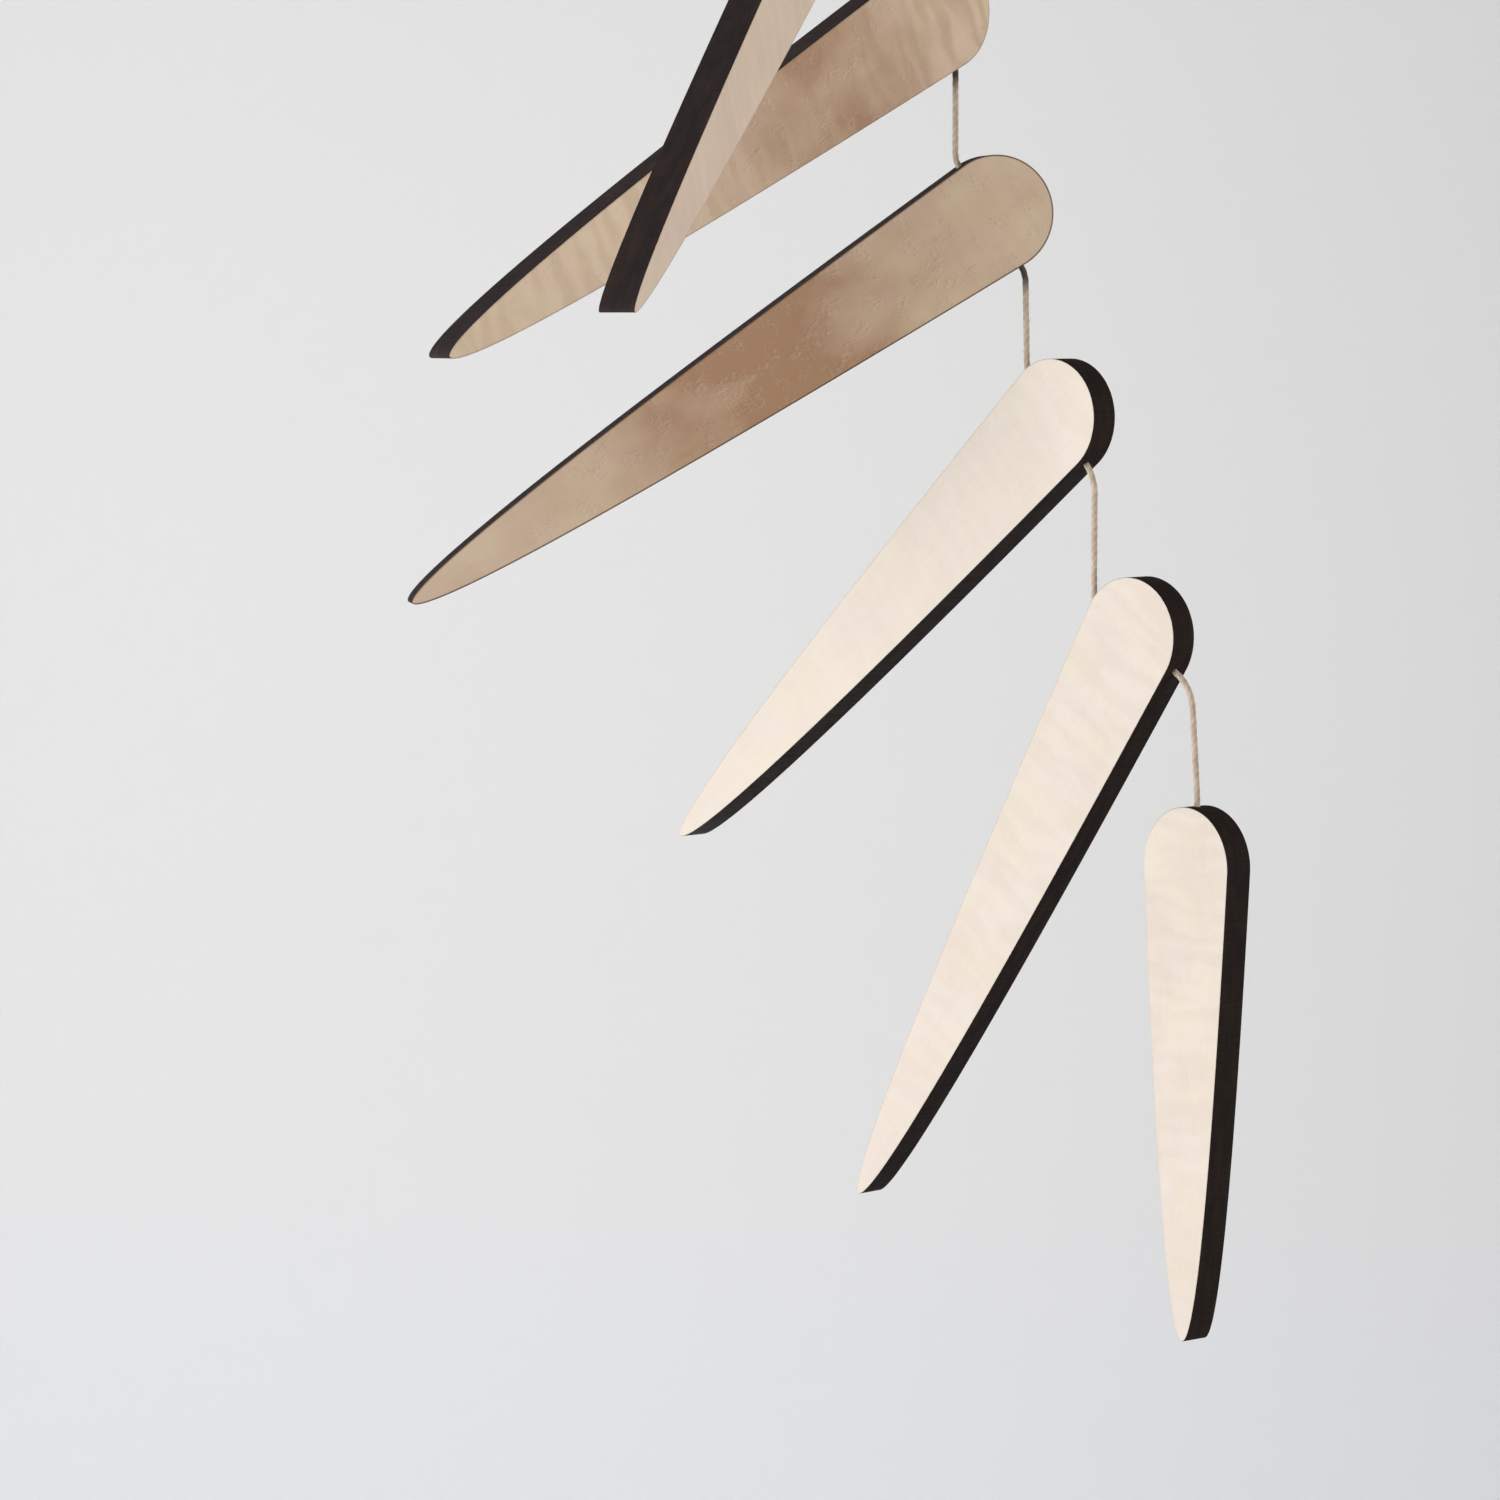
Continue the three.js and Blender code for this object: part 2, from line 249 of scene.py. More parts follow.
def blade_tree():
    tree, given, result = new_tree(
        "Tapered blade",
        "GeometryNodeTree",
        [
            ("Geometry", "NodeSocketGeometry", None),
            ("Length", "NodeSocketFloat", MIDDLE_BLADE),
            ("End Radius", "NodeSocketFloat", END_RADIUS),
            ("Thickness", "NodeSocketFloat", BLADE_THICKNESS),
            ("Rim", "NodeSocketFloat", RIM),
            ("Taper Length", "NodeSocketFloat", MIDDLE_BLADE - END_RADIUS),
            ("Taper Half Width", "NodeSocketFloat", END_RADIUS),
            ("Taper Power", "NodeSocketFloat", TAPER_POWER),
            ("End Turn", "NodeSocketFloat", 0.0),
            ("Hole Radius", "NodeSocketFloat", HOLE_RADIUS),
            ("Hole Centre", "NodeSocketVector", None),
            ("Hole Length", "NodeSocketFloat", 2 * BLADE_WIDTH),
            ("Hole Turn", "NodeSocketFloat", 0.0),
            ("Sheet Place", "NodeSocketVector", None),
            ("Curl", "NodeSocketFloat", 0.5),
            ("Gold", "NodeSocketFloat", 0.0),
            ("Brown", "NodeSocketFloat", 0.0),
            ("Heart And Shade", "NodeSocketFloat", 0.0),
            ("Heart And Shade At", "NodeSocketFloat", 0.5),
            ("Heart And Shade Spread", "NodeSocketFloat", 0.2),
            ("Scorch", "NodeSocketFloat", 0.5),
            ("Edge Light", "NodeSocketFloat", 0.0),
            ("Face Veneer", "NodeSocketMaterial", None),
            ("Edge", "NodeSocketMaterial", None),
        ],
        [("Geometry", "NodeSocketGeometry")],
    )
    block = node(tree, "GeometryNodeMeshCube", {
        "Size": (1, 1, 1), "Vertices X": COLUMNS, "Vertices Y": 4, "Vertices Z": ROWS,
    })
    on_block = node(tree, "GeometryNodeInputPosition").outputs[0]
    place = node(tree, "ShaderNodeSeparateXYZ", {"Vector": on_block})
    along = maths(tree, "ADD", place.outputs["X"], 0.5)

    # The outline on the round end, and its outward direction.
    sweep = maths(tree, "ADD", given["End Turn"], math.pi / 2)
    angle = maths(tree, "MULTIPLY", maths(tree, "DIVIDE", along, END_SHARE), sweep)
    cosine = maths(tree, "COSINE", angle)
    sine = maths(tree, "SINE", angle)
    back = maths(tree, "MULTIPLY", given["End Radius"], cosine)
    round_x = maths(tree, "SUBTRACT", given["End Radius"], back)
    round_point = combined(tree, round_x, 0, maths(tree, "MULTIPLY", given["End Radius"], sine))
    round_out = combined(tree, maths(tree, "MULTIPLY", cosine, -1), 0, sine)

    # The outline on the taper, with more columns towards the tip.
    step = maths(tree, "DIVIDE", maths(tree, "SUBTRACT", 1, along), 1 - END_SHARE)
    share = maths(tree, "MULTIPLY", step, step)
    narrowed = maths(tree, "POWER", share, given["Taper Power"])
    half = maths(tree, "MULTIPLY", given["Taper Half Width"], narrowed)
    from_tip = maths(tree, "MULTIPLY", share, given["Taper Length"])
    taper_point = combined(tree, maths(tree, "SUBTRACT", given["Length"], from_tip), 0, half)
    slope = maths(tree, "DIVIDE", maths(tree, "MULTIPLY", given["Taper Power"], half),
                  maths(tree, "MAXIMUM", from_tip, LEAST_FROM_TIP))
    at_tip = maths(tree, "LESS_THAN", share, 1e-6)
    slope = maths(tree, "ADD", slope, maths(tree, "MULTIPLY", at_tip, TIP_SLOPE))
    taper_out = vectors(tree, "NORMALIZE", combined(tree, slope, 0, 1))

    on_taper = maths(tree, "GREATER_THAN", along, END_SHARE)
    point = node(tree, "GeometryNodeSwitch", {"Switch": on_taper, "False": round_point, "True": taper_point},
                 input_type="VECTOR").outputs[0]
    out = node(tree, "GeometryNodeSwitch", {"Switch": on_taper, "False": round_out, "True": taper_out},
               input_type="VECTOR").outputs[0]

    # The faces are smaller than the middle by the rim's chamfer, and thinner there by it.
    on_face = maths(tree, "GREATER_THAN", maths(tree, "ABSOLUTE", place.outputs["Y"]), 0.4)
    inset = maths(tree, "MULTIPLY", on_face, given["Rim"])
    inward = vectors(tree, "MULTIPLY", out, combined(tree, inset, inset, inset))
    point = vectors(tree, "SUBTRACT", point, inward)
    edge_point = node(tree, "ShaderNodeSeparateXYZ", {"Vector": point})
    depth = maths(tree, "SUBTRACT", maths(tree, "MULTIPLY", given["Thickness"], 0.5),
                  maths(tree, "SUBTRACT", given["Rim"], inset))
    depth = maths(tree, "MULTIPLY", depth, maths(tree, "SIGN", place.outputs["Y"]))

    # Rows across the blade lie closer towards its sides.
    across = maths(tree, "MULTIPLY", place.outputs["Z"], 2)
    from_side = maths(tree, "SUBTRACT", 1, maths(tree, "ABSOLUTE", across))
    row = maths(tree, "SUBTRACT", 1, maths(tree, "MULTIPLY", from_side, from_side))
    row = maths(tree, "MULTIPLY", row, maths(tree, "SIGN", across))
    height = maths(tree, "MULTIPLY", row, maths(tree, "MAXIMUM", edge_point.outputs["Z"], 0))
    shaped = node(tree, "GeometryNodeSetPosition", {
        "Geometry": block.outputs["Mesh"],
        "Position": combined(tree, edge_point.outputs["X"], depth, height),
    })
    closed = node(tree, "GeometryNodeMergeByDistance", {
        "Geometry": shaped.outputs[0], "Distance": MERGE_WITHIN,
    })

    # The hole.
    drill = node(tree, "GeometryNodeMeshCylinder", {
        "Vertices": HOLE_SIDES, "Radius": given["Hole Radius"], "Depth": given["Hole Length"],
    }, fill_type="NGON")
    placed = node(tree, "GeometryNodeTransform", {
        "Geometry": drill.outputs["Mesh"],
        "Translation": given["Hole Centre"],
        "Rotation": combined(tree, 0, given["Hole Turn"], 0),
    })
    drilled = node(tree, "GeometryNodeMeshBoolean", {}, operation="DIFFERENCE", solver="EXACT")
    tree.links.new(closed.outputs[0], drilled.inputs["Mesh 1"])
    tree.links.new(placed.outputs[0], drilled.inputs["Mesh 2"])

    # Each point keeps its place on the veneer sheet, what the veneer is like there, with the painted shade
    # of its darker patch and the painted light on its edge, and its distance from the rim of the face.
    here = node(tree, "GeometryNodeInputPosition").outputs[0]
    spot = node(tree, "ShaderNodeSeparateXYZ", {"Vector": here})
    to_tip = maths(tree, "MAXIMUM", maths(tree, "SUBTRACT", given["Length"], spot.outputs["X"]), 0)
    side = maths(tree, "MULTIPLY", given["Taper Half Width"], maths(
        tree, "POWER", maths(tree, "DIVIDE", to_tip, given["Taper Length"]), given["Taper Power"]))
    side_gap = maths(tree, "SUBTRACT", side, maths(tree, "ABSOLUTE", spot.outputs["Z"]))
    from_centre = vectors(tree, "SUBTRACT", here, combined(tree, given["End Radius"], spot.outputs["Y"], 0))
    radius = node(tree, "ShaderNodeVectorMath", {}, operation="LENGTH")
    tree.links.new(from_centre, radius.inputs[0])
    end_gap = maths(tree, "SUBTRACT", given["End Radius"], radius.outputs["Value"])
    past_end = maths(tree, "GREATER_THAN", spot.outputs["X"], given["End Radius"])
    gap = node(tree, "GeometryNodeSwitch", {"Switch": past_end, "False": end_gap, "True": side_gap},
               input_type="FLOAT").outputs[0]
    share = maths(tree, "DIVIDE", spot.outputs["X"], given["Length"])
    # A browner, darker patch about one place along the blade: heartwood brown and painted shade falling
    # across the blade there. It weakens the curl.
    from_heart_and_shade = maths(tree, "SUBTRACT", share, given["Heart And Shade At"])
    from_heart_and_shade = maths(tree, "DIVIDE", from_heart_and_shade, given["Heart And Shade Spread"])
    falling = maths(tree, "MULTIPLY", maths(tree, "MULTIPLY", from_heart_and_shade, from_heart_and_shade), -1)
    heart_and_shade = maths(tree, "MULTIPLY", given["Heart And Shade"], maths(tree, "EXPONENT", falling))
    brown = maths(tree, "ADD", given["Brown"], heart_and_shade)
    curl = maths(tree, "MULTIPLY", given["Curl"], maths(tree, "SUBTRACT", 1, heart_and_shade))
    faded = maths(tree, "MULTIPLY", share, CURL_FADE)
    curl = maths(tree, "MULTIPLY", curl, maths(tree, "SUBTRACT", 1, faded))
    kept = drilled.outputs["Mesh"]
    for label, kind, value in (
        ("sheet_place", "FLOAT_VECTOR", vectors(tree, "ADD", here, given["Sheet Place"])),
        ("curl", "FLOAT", curl),
        ("gold", "FLOAT", given["Gold"]),
        ("brown", "FLOAT", brown),
        ("scorch", "FLOAT", given["Scorch"]),
        ("edge_light", "FLOAT", given["Edge Light"]),
        ("rim_gap", "FLOAT", gap),
    ):
        kept = stored(tree, kept, label, kind, value)

    # Both broad faces are veneered, and the rest is the sheet's burnt edge.
    half_thick = maths(tree, "MULTIPLY", given["Thickness"], 0.5)
    near = maths(tree, "SUBTRACT", half_thick, maths(tree, "ABSOLUTE", spot.outputs["Y"]))
    is_face = maths(tree, "LESS_THAN", near, FACE_WITHIN)
    real = node(tree, "GeometryNodeRealizeInstances", {"Geometry": kept})
    edged = node(tree, "GeometryNodeSetMaterial", {"Geometry": real.outputs[0], "Material": given["Edge"]})
    faced = node(tree, "GeometryNodeSetMaterial", {
        "Geometry": edged.outputs[0], "Selection": is_face, "Material": given["Face Veneer"],
    })
    tree.links.new(faced.outputs[0], result["Geometry"])
    return tree


# Edges that turn by more than this stay sharp.
SHARP_ANGLE = math.radians(30)


def baked(piece):
    """Turns a piece's modifiers into its plain mesh."""
    bpy.context.view_layer.update()
    graph = bpy.context.evaluated_depsgraph_get()
    mesh = bpy.data.meshes.new_from_object(piece.evaluated_get(graph), preserve_all_data_layers=True,
                                           depsgraph=graph)
    piece.modifiers.clear()
    old = piece.data
    piece.data = mesh
    mesh.name = piece.name
    bpy.data.meshes.remove(old)
    return mesh


def new_piece(name):
    piece = bpy.data.objects.new(name, bpy.data.meshes.new(name))
    bpy.context.scene.collection.objects.link(piece)
    return piece


def shape_with(piece, tree, values):
    """Gives a piece a geometry nodes modifier whose inputs are set by the sockets' identifiers."""
    modifier = piece.modifiers.new(tree.name, "NODES")
    modifier.node_group = tree
    for item in tree.interface.items_tree:
        if item.in_out == "INPUT" and item.name in values:
            modifier[item.identifier] = values[item.name]


def make_blade(blade, tree, veneer, edge):
    length = blade["length"]
    from_tip, half_width, turn = taper(length)
    half_here = half_width_at(length, HOLE_FROM_END)
    past = CORD_DIAMETER
    if blade["last"]:
        centre = ((END_HOLE_DEPTH - past) / 2, 0, 0)
        hole_length = END_HOLE_DEPTH + past
        hung_by = Vector((0, 0, 0))
    else:
        centre = (HOLE_FROM_END, 0, 0)
        hole_length = 2 * (half_here + past)
        hung_by = Vector((HOLE_FROM_END, 0, half_here))
    sheet = blade["veneer"]
    piece = new_piece(blade["name"] + "_veneered")
    shape_with(piece, tree, {
        "Length": length,
        "End Radius": END_RADIUS,
        "Thickness": BLADE_THICKNESS,
        "Rim": RIM,
        "Taper Length": from_tip,
        "Taper Half Width": half_width,
        "Taper Power": TAPER_POWER,
        "End Turn": turn,
        "Hole Radius": HOLE_RADIUS,
        "Hole Centre": centre,
        "Hole Length": hole_length,
        "Hole Turn": math.pi / 2 if blade["last"] else 0.0,
        "Sheet Place": (sheet["along"] * MM, 0, sheet["across"] * MM),
        "Curl": float(sheet["curl"]),
        "Gold": float(sheet["gold"]),
        "Brown": float(sheet["brown"]),
        "Heart And Shade": float(sheet["heart_and_shade"]),
        "Heart And Shade At": sheet.get("heart_and_shade_at", 0.5),
        "Heart And Shade Spread": sheet.get("heart_and_shade_spread", 0.2),
        "Scorch": float(sheet["scorch"]),
        "Edge Light": float(sheet["edge_light"]),
        "Face Veneer": veneer,
        "Edge": edge,
    })
    mesh = baked(piece)
    pose = Matrix.Translation(blade["top"]) @ Matrix.Rotation(blade["heading"], 4, "Z")
    mesh.transform(pose @ Matrix.Rotation(blade["tilt"], 4, "Y") @ Matrix.Translation(-hung_by))
    mesh.shade_smooth()
    mesh.set_sharp_from_angle(angle=SHARP_ANGLE)
    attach(piece, "root")
    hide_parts(blade["name"])


# The twine: its strands, how it swells and wanders, and how finely its line is drawn.
TWIST_PITCH = 5.2 * MM
STRANDS = 3
STRAND_GROOVE = 0.12
SLUB = 0.05
WANDER = 0.06 * MM
UNEVENNESS = 260
RING_STEP = 0.22 * MM
RING_SIDES = 18
BEND_STEPS = 16
LOOP_STEPS = 60
SOFTENINGS = 3

# The loop's feet and the knot's windings, and how fast the painted shade and soot below a blade fade down
# the twine.
LEG_APART = 0.5 * MM
KNOT_TURNS = 2.6
KNOT_STEPS = 24
KNOT_START = 0.15
KNOT_GROWTH = 2
KNOT_SEAT = 0.6 * CORD_RADIUS
WINDING_WIDE = 1.6 * MM
WINDING_DEEP = 1.25 * MM
WINDING_PITCH = 1.12 * MM
TAIL = 3.2 * MM
TAIL_LIFT = 0.5
SHADE_AND_SOOT_FALL = 1.8

# Its loose fibres, thin hairs that stand a little way off the strands. The twine is bare of them
# above BARE_ABOVE, where the hook wears it.
FIBRES_PER_MM = 2.4
FIBRE_LENGTH = 0.9 * MM
FIBRE_LIFT = 0.3 * MM
FIBRE_RADIUS = 0.014 * MM
SHORTEST_FIBRE = 0.4
LONGEST_FIBRE = 1.3
BARE_ABOVE = -2 * MM


def bend_points(start, corner, end):
    """The points of a round bend, after its start."""
    points = []
    for i in range(1, BEND_STEPS + 1):
        t = i / BEND_STEPS
        points.append(start * (1 - t) ** 2 + corner * 2 * t * (1 - t) + end * t ** 2)
    return points


def cord_route():
    """The twine's line from the blind hole in the last blade up into the knot. It is straight in each
    hole, bends at both mouths and is straight again between two blades."""
    start = Vector((0, 0, -LOOP_HEIGHT - KNOT_HEIGHT / 2))
    points = [start]
    bend = 0
    turn = start
    for blade in HUNG:
        corner = blade["top"] + blade["mouth"] * blade["entry"]
        down = (corner - turn).normalized()
        if turn is not start:
            points += bend_points(points[-1], turn, turn + down * bend)
        points.append(corner - down * blade["entry"])
        points += bend_points(points[-1], corner, blade["top"])
        if blade["last"]:
            points.append(blade["bottom"] + blade["mouth"] * CORD_GAP_IN_END_HOLE)
        else:
            points.append(blade["bottom"])
            bend = blade["bend"] * MM
            turn = blade["bottom"] - blade["mouth"] * bend
    return points[::-1]


def loop_route():
    """The hanging loop, a teardrop, with its two feet in the knot."""
    foot = -LOOP_HEIGHT + TOUCH_GAP
    top = -CORD_RADIUS
    apart = CORD_RADIUS + TOUCH_GAP / 2
    wide = LOOP_WIDTH / 2 - CORD_RADIUS
    widest = 3 * math.sqrt(3) / 8
    points = [Vector((LEG_APART, 0, -LOOP_HEIGHT - KNOT_HEIGHT / 2))]
    for i in range(LOOP_STEPS + 1):
        turn = 2 * math.pi * i / LOOP_STEPS
        swell = math.sin(turn) * (1 - math.cos(turn)) / 2 / widest
        x = wide * swell + apart * math.cos(turn / 2)
        points.append(Vector((x, 0, foot + (top - foot) * (1 - math.cos(turn)) / 2)))
    return points + [Vector((-LEG_APART, 0, -LOOP_HEIGHT - KNOT_HEIGHT / 2))]


def knot_route():
    """The twine's end, which comes out from between the loop's feet, winds up round them and leaves as
    a short tail."""
    points = []
    for i in range(round(KNOT_TURNS * KNOT_STEPS) + 1):
        turns = i / KNOT_STEPS
        grown = min(1, KNOT_START + KNOT_GROWTH * turns)
        angle = 2 * math.pi * turns
        rise = -LOOP_HEIGHT - KNOT_HEIGHT + KNOT_SEAT + WINDING_PITCH * turns
        x = WINDING_WIDE * grown * math.cos(angle)
        y = WINDING_DEEP * grown * math.sin(angle)
        points.append(Vector((x, y, rise)))
    away = (points[-1] - points[-2]).normalized()
    half_tail = TAIL / 2
    points.append(points[-1] + away * half_tail)
    points.append(points[-1] + (away + Vector((0, 0, TAIL_LIFT))).normalized() * half_tail)
    return points


def evenly(points, step):
    """The line through points, stepped evenly and with its corners softened."""
    out = [points[0]]
    spare = 0.0
    for a, b in zip(points, points[1:]):
        way = b - a
        length = way.length
        at = step - spare
        while at <= length:
            out.append(a + way * (at / length))
            at += step
        spare = length - (at - step)
    for _ in range(SOFTENINGS):
        smooth = out[:]
        for i in range(1, len(out) - 1):
            smooth[i] = out[i] * 0.5 + (out[i - 1] + out[i + 1]) * 0.25
        out = smooth
    return out


def kept_value(tree, name, kind):
    return node(tree, "GeometryNodeInputNamedAttribute", {"Name": name}, data_type=kind).outputs["Attribute"]


def random_value(tree, low, high, seed):
    made = node(tree, "FunctionNodeRandomValue", data_type="FLOAT")
    for socket, value in zip((made.inputs[2], made.inputs[3], made.inputs["Seed"]), (low, high, seed)):
        put(tree, socket, value)
    return made.outputs[1]


def twine_tree():
    """Twisted strands with loose fibres, along the edges of a mesh."""
    tree, given, result = new_tree(
        "Twisted twine",
        "GeometryNodeTree",
        [
            ("Geometry", "NodeSocketGeometry", None),
            ("Radius", "NodeSocketFloat", CORD_RADIUS),
            ("Ring Sides", "NodeSocketInt", RING_SIDES),
            ("Strands", "NodeSocketFloat", float(STRANDS)),
            ("Strand Groove", "NodeSocketFloat", STRAND_GROOVE),
            ("Twist Pitch", "NodeSocketFloat", TWIST_PITCH),
            ("Slub", "NodeSocketFloat", SLUB),
            ("Wander", "NodeSocketFloat", WANDER),
            ("Fibres Per Area", "NodeSocketFloat", 0.0),
            ("Fibre Length", "NodeSocketFloat", FIBRE_LENGTH),
            ("Fibre Lift", "NodeSocketFloat", FIBRE_LIFT),
            ("Fibre Radius", "NodeSocketFloat", FIBRE_RADIUS),
            ("Bare Above", "NodeSocketFloat", BARE_ABOVE),
            ("Seed", "NodeSocketInt", 1),
            ("Material", "NodeSocketMaterial", None),
        ],
        [("Geometry", "NodeSocketGeometry")],
    )

    # A plain round tube, whose points know their distance along the line, their turn round it and its
    # centre there.
    here = node(tree, "GeometryNodeInputPosition").outputs[0]
    line = node(tree, "GeometryNodeMeshToCurve", {"Mesh": given["Geometry"]}).outputs[0]
    run = node(tree, "GeometryNodeSplineParameter")
    line = stored(tree, line, "along", "FLOAT", run.outputs["Length"])
    line = stored(tree, line, "centre", "FLOAT_VECTOR", here)
    ring = node(tree, "GeometryNodeCurvePrimitiveCircle", {
        "Resolution": given["Ring Sides"], "Radius": given["Radius"],
    }).outputs[0]
    turn = maths(tree, "MULTIPLY", node(tree, "GeometryNodeSplineParameter").outputs["Factor"], 2 * math.pi)
    ring = stored(tree, ring, "turn", "FLOAT", turn)
    tube = node(tree, "GeometryNodeCurveToMesh", {"Curve": line, "Profile Curve": ring, "Fill Caps": True})
    along = kept_value(tree, "along", "FLOAT")
    turn = kept_value(tree, "turn", "FLOAT")
    centre = kept_value(tree, "centre", "FLOAT_VECTOR")

    # The strands wind round the line with grooves between them. The twine swells and wanders a little.
    twist = maths(tree, "DIVIDE", maths(tree, "MULTIPLY", along, 2 * math.pi), given["Twist Pitch"])
    half_strands = maths(tree, "DIVIDE", given["Strands"], 2)
    lay = maths(tree, "MULTIPLY", maths(tree, "SUBTRACT", turn, twist), half_strands)
    groove = maths(tree, "SUBTRACT", 1, maths(tree, "ABSOLUTE", maths(tree, "COSINE", lay)))
    uneven = node(tree, "ShaderNodeTexNoise", {"Vector": centre, "Scale": UNEVENNESS, "Detail": 2})
    swell = maths(tree, "MULTIPLY", maths(tree, "SUBTRACT", uneven.outputs["Fac"], 0.5), given["Slub"])
    size = maths(tree, "SUBTRACT", maths(tree, "ADD", 1, maths(tree, "MULTIPLY", swell, 2)),
                 maths(tree, "MULTIPLY", groove, given["Strand Groove"]))
    drift = vectors(tree, "SUBTRACT", uneven.outputs["Color"], (0.5, 0.5, 0.5))
    wander = combined(tree, given["Wander"], given["Wander"], given["Wander"])
    drift = vectors(tree, "MULTIPLY", drift, wander)
    spoke = vectors(tree, "SUBTRACT", here, centre)
    spoke = vectors(tree, "MULTIPLY", spoke, combined(tree, size, size, size))
    twine = node(tree, "GeometryNodeSetPosition", {
        "Geometry": tube.outputs[0],
        "Position": vectors(tree, "ADD", vectors(tree, "ADD", centre, spoke), drift),
    }).outputs[0]
    twine = stored(tree, twine, "groove", "FLOAT", groove)
    round_y = maths(tree, "MULTIPLY", given["Radius"], maths(tree, "COSINE", turn))
    round_z = maths(tree, "MULTIPLY", given["Radius"], maths(tree, "SINE", turn))
    round_place = combined(tree, along, round_y, round_z)
    twine = stored(tree, twine, "twine_place", "FLOAT_VECTOR", round_place)

    # The loose fibres lift off the strands at random, but for where the hook wears them away.
    worn = node(tree, "ShaderNodeSeparateXYZ", {"Vector": here}).outputs["Z"]
    spots = node(tree, "GeometryNodeDistributePointsOnFaces", {
        "Mesh": twine,
        "Selection": maths(tree, "LESS_THAN", worn, given["Bare Above"]),
        "Density": given["Fibres Per Area"],
        "Seed": given["Seed"],
    }, distribute_method="RANDOM")
    rooted = maths(tree, "MULTIPLY", given["Fibre Lift"], -0.2)
    part_way = maths(tree, "MULTIPLY", given["Fibre Length"], 0.35)
    aside = maths(tree, "MULTIPLY", given["Fibre Length"], 0.2)
    drooped = maths(tree, "MULTIPLY", given["Fibre Lift"], 0.8)
    hair = node(tree, "GeometryNodeCurveQuadraticBezier", {
        "Resolution": 4,
        "Start": combined(tree, 0, 0, rooted),
        "Middle": combined(tree, part_way, 0, given["Fibre Lift"]),
        "End": combined(tree, given["Fibre Length"], aside, drooped),
    })
    thread = node(tree, "GeometryNodeCurvePrimitiveCircle", {
        "Resolution": 3, "Radius": given["Fibre Radius"],
    })
    hair = node(tree, "GeometryNodeCurveToMesh", {
        "Curve": hair.outputs[0], "Profile Curve": thread.outputs[0], "Fill Caps": True,
    })
    spin = combined(tree, 0, 0, random_value(tree, 0.0, 2 * math.pi, given["Seed"]))
    facing = node(tree, "FunctionNodeRotateRotation", {
        "Rotation": spots.outputs["Rotation"],
        "Rotate By": node(tree, "FunctionNodeEulerToRotation", {"Euler": spin}).outputs[0],
    }, rotation_space="LOCAL")
    seed = maths(tree, "ADD", given["Seed"], 1)
    longer = random_value(tree, SHORTEST_FIBRE, LONGEST_FIBRE, seed)
    hairs = node(tree, "GeometryNodeInstanceOnPoints", {
        "Points": spots.outputs["Points"], "Instance": hair.outputs[0],
        "Rotation": facing.outputs[0], "Scale": combined(tree, longer, longer, longer),
    })
    joined = node(tree, "GeometryNodeJoinGeometry")
    tree.links.new(hairs.outputs[0], joined.inputs[0])
    tree.links.new(twine, joined.inputs[0])
    real = node(tree, "GeometryNodeRealizeInstances", {"Geometry": joined.outputs[0]})
    finished = node(tree, "GeometryNodeSetMaterial", {
        "Geometry": real.outputs[0], "Material": given["Material"],
    })
    tree.links.new(finished.outputs[0], result["Geometry"])
    return tree


def shade_and_soot_at(point):
    """How dark the twine is painted at a point just below a blade's hole, from 0 to 1: painted shade under
    the blade and soot rubbed off from the burnt hole.
    """
    for blade in HUNG:
        below = (blade["bottom"] - point).length
        reach = blade.get("soot", 0) * MM
        if point.z < blade["bottom"].z and below < reach:
            return min(1, SHADE_AND_SOOT_FALL * (1 - below / reach))
    return 0.0


def make_twine(name, stands_for, points, tree, material, seed):
    """A piece of twine along a line, and the line itself."""
    line = evenly(points, RING_STEP)
    piece = new_piece(name)
    piece.data.from_pydata(line, [(i, i + 1) for i in range(len(line) - 1)], [])
    # Each point of the line keeps how dark it is painted below a blade's hole: painted shade under the blade
    # and soot from the burnt hole.
    piece.data.attributes.new("soot", "FLOAT", "POINT").data.foreach_set("value", [shade_and_soot_at(p) for p in line])
    shape_with(piece, tree, {
        "Radius": CORD_RADIUS,
        "Ring Sides": RING_SIDES,
        "Strands": float(STRANDS),
        "Strand Groove": STRAND_GROOVE,
        "Twist Pitch": TWIST_PITCH,
        "Slub": SLUB,
        "Wander": WANDER,
        "Fibres Per Area": FIBRES_PER_MM / MM / (2 * math.pi * CORD_RADIUS),
        "Fibre Length": FIBRE_LENGTH,
        "Fibre Lift": FIBRE_LIFT,
        "Fibre Radius": FIBRE_RADIUS,
        "Bare Above": BARE_ABOVE,
        "Seed": seed,
        "Material": material,
    })
    baked(piece).shade_smooth()
    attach(piece, "root")
    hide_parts(stands_for)
    return piece, line


def make_cord(material):
    """One length of twine: the cord that carries the blades, its hanging loop and the loop's knot."""
    tree = twine_tree()
    loop, _ = make_twine("twine_loop", "hanging_loop", loop_route(), tree, material, 11)
    knot, _ = make_twine("twine_knot", "loop_knot", knot_route(), tree, material, 23)
    cord, line = make_twine("twine_cord", "hanging_cord", cord_route(), tree, material, 37)


# Materials.
def new_material(name):
    material = bpy.data.materials.new(name)
    material.use_nodes = True
    tree = material.node_tree
    tree.nodes.clear()
    shader = tree.nodes.new("ShaderNodeBsdfPrincipled")
    output = tree.nodes.new("ShaderNodeOutputMaterial")
    tree.links.new(shader.outputs[0], output.inputs["Surface"])
    return material, tree, shader


